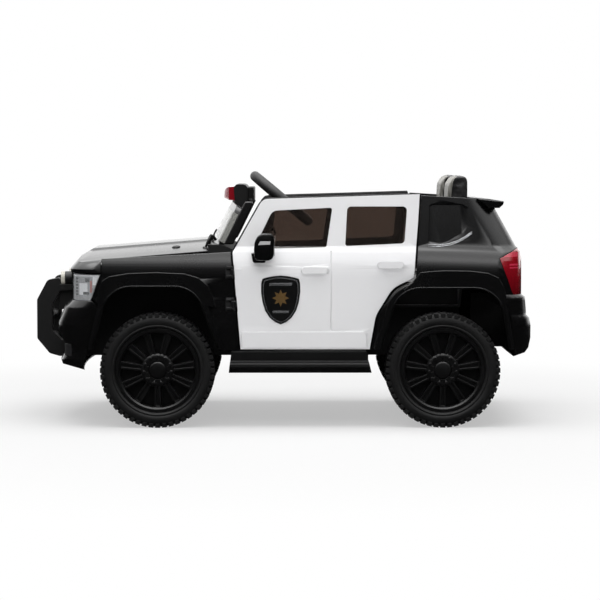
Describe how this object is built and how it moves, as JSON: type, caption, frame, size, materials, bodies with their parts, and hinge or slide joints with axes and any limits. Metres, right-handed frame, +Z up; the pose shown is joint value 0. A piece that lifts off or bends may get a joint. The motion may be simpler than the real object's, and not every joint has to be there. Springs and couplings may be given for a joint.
{
  "type": "ride-on toy police suv",
  "caption": "Open-top battery ride-on toy car in police livery, with a bull bar, hinged doors, a steering wheel linked to the front wheels, and seats for children.",
  "frame": {"origin": "on the ground, at the centre of the box round the car", "axes": "+X to the rear of the car, +Y to its right-hand side, +Z up"},
  "size_m": [1.3469, 0.8, 0.6819],
  "materials": {
    "body_black": "glossy black moulded plastic",
    "door_white": "glossy white moulded plastic",
    "trim_black": "matt black plastic",
    "smoked_pane": "smoked clear plastic",
    "clear_pane": "clear plastic",
    "lamp_clear": "clear lamp lens over a bright reflector",
    "lamp_red": "red lamp lens",
    "lamp_blue": "blue lamp lens",
    "seat_leather": "black imitation leather",
    "tyre_foam": "matt black foam tyre",
    "rim_black": "glossy black plastic",
    "steel": "black painted steel"
  },
  "bodies": {
    "body": {"battery": "trim_black", "beacon_blue": "lamp_blue", "beacon_housing": "trim_black", "beacon_red": "lamp_red", "bulkhead": "trim_black", "bull_bar": "trim_black", "chassis_tub": "trim_black", "cowl": "trim_black", "dashboard": "trim_black", "fender_left": "body_black", "fender_right": "body_black", "front_axle": "steel", "front_bumper": "body_black", "grille": "trim_black", "headlamps": "lamp_clear", "hood": "body_black", "lamp_pods": "trim_black", "pedal": "trim_black", "quarter_left": "body_black", "quarter_right": "body_black", "rear_axle": "steel", "rear_bumper": "body_black", "rear_deck": "body_black", "rear_window": "smoked_pane", "seat_back_left": "seat_leather", "seat_back_right": "seat_leather", "seat_cushion_left": "seat_leather", "seat_cushion_right": "seat_leather", "sill_left": "trim_black", "sill_right": "trim_black", "tail_lamps": "lamp_red", "tailgate": "body_black", "windscreen": "clear_pane", "windscreen_frame": "body_black"},
    "steering": {"steering_wheel": "trim_black"},
    "knuckle_left": {"knuckle_left": "steel"},
    "knuckle_right": {"knuckle_right": "steel"},
    "tie_rod": {"tie_rod": "steel"},
    "door_left": {"door_left": "door_white", "door_lining_left": "trim_black", "door_glass_left": "smoked_pane", "mirror_left": "body_black"},
    "door_right": {"door_right": "door_white", "door_lining_right": "trim_black", "door_glass_right": "smoked_pane", "mirror_right": "body_black"},
    "wheel_front_left": {"rim_front_left": "rim_black", "tyre_front_left": "tyre_foam"},
    "wheel_front_right": {"rim_front_right": "rim_black", "tyre_front_right": "tyre_foam"},
    "wheel_rear_left": {"rim_rear_left": "rim_black", "tyre_rear_left": "tyre_foam"},
    "wheel_rear_right": {"rim_rear_right": "rim_black", "tyre_rear_right": "tyre_foam"}
  },
  "joints": [
    {"name": "steering_turn", "type": "hinge", "parent": "body", "child": "steering", "pos_m": [-0.0015, -0.16, 0.608], "axis": [0.6428, 0, 0.766], "range_deg": [-60, 60]},
    {"name": "kingpin_left", "type": "hinge", "parent": "body", "child": "knuckle_left", "pos_m": [-0.3315, -0.238, 0.153], "axis": [0, 0, 1], "range_deg": [-18, 18]},
    {"name": "kingpin_right", "type": "hinge", "parent": "body", "child": "knuckle_right", "pos_m": [-0.3315, 0.238, 0.153], "axis": [0, 0, 1], "range_deg": [-18, 18]},
    {"name": "tie_rod_pin", "type": "hinge", "parent": "knuckle_left", "child": "tie_rod", "pos_m": [-0.2695, -0.238, 0.163], "axis": [0, 0, 1], "range_deg": [-18, 18]},
    {"name": "spin_front_left", "type": "hinge", "parent": "knuckle_left", "child": "wheel_front_left", "pos_m": [-0.3315, -0.3075, 0.153], "axis": [0, 1, 0], "continuous": true},
    {"name": "spin_front_right", "type": "hinge", "parent": "knuckle_right", "child": "wheel_front_right", "pos_m": [-0.3315, 0.3075, 0.153], "axis": [0, 1, 0], "continuous": true},
    {"name": "spin_rear_left", "type": "hinge", "parent": "body", "child": "wheel_rear_left", "pos_m": [0.4285, -0.3075, 0.153], "axis": [0, 1, 0], "continuous": true},
    {"name": "spin_rear_right", "type": "hinge", "parent": "body", "child": "wheel_rear_right", "pos_m": [0.4285, 0.3075, 0.153], "axis": [0, 1, 0], "continuous": true},
    {"name": "door_left_hinge", "type": "hinge", "parent": "body", "child": "door_left", "pos_m": [-0.1315, -0.352, 0.37], "axis": [0, 0, -1], "range_deg": [0, 60]},
    {"name": "door_right_hinge", "type": "hinge", "parent": "body", "child": "door_right", "pos_m": [-0.1315, 0.352, 0.37], "axis": [0, 0, 1], "range_deg": [0, 60]}
  ],
  "couplings": [
    {"joint": "kingpin_left", "follows": "steering_turn", "ratio": 0.3},
    {"joint": "kingpin_right", "follows": "steering_turn", "ratio": 0.3},
    {"joint": "tie_rod_pin", "follows": "steering_turn", "ratio": -0.3}
  ]
}
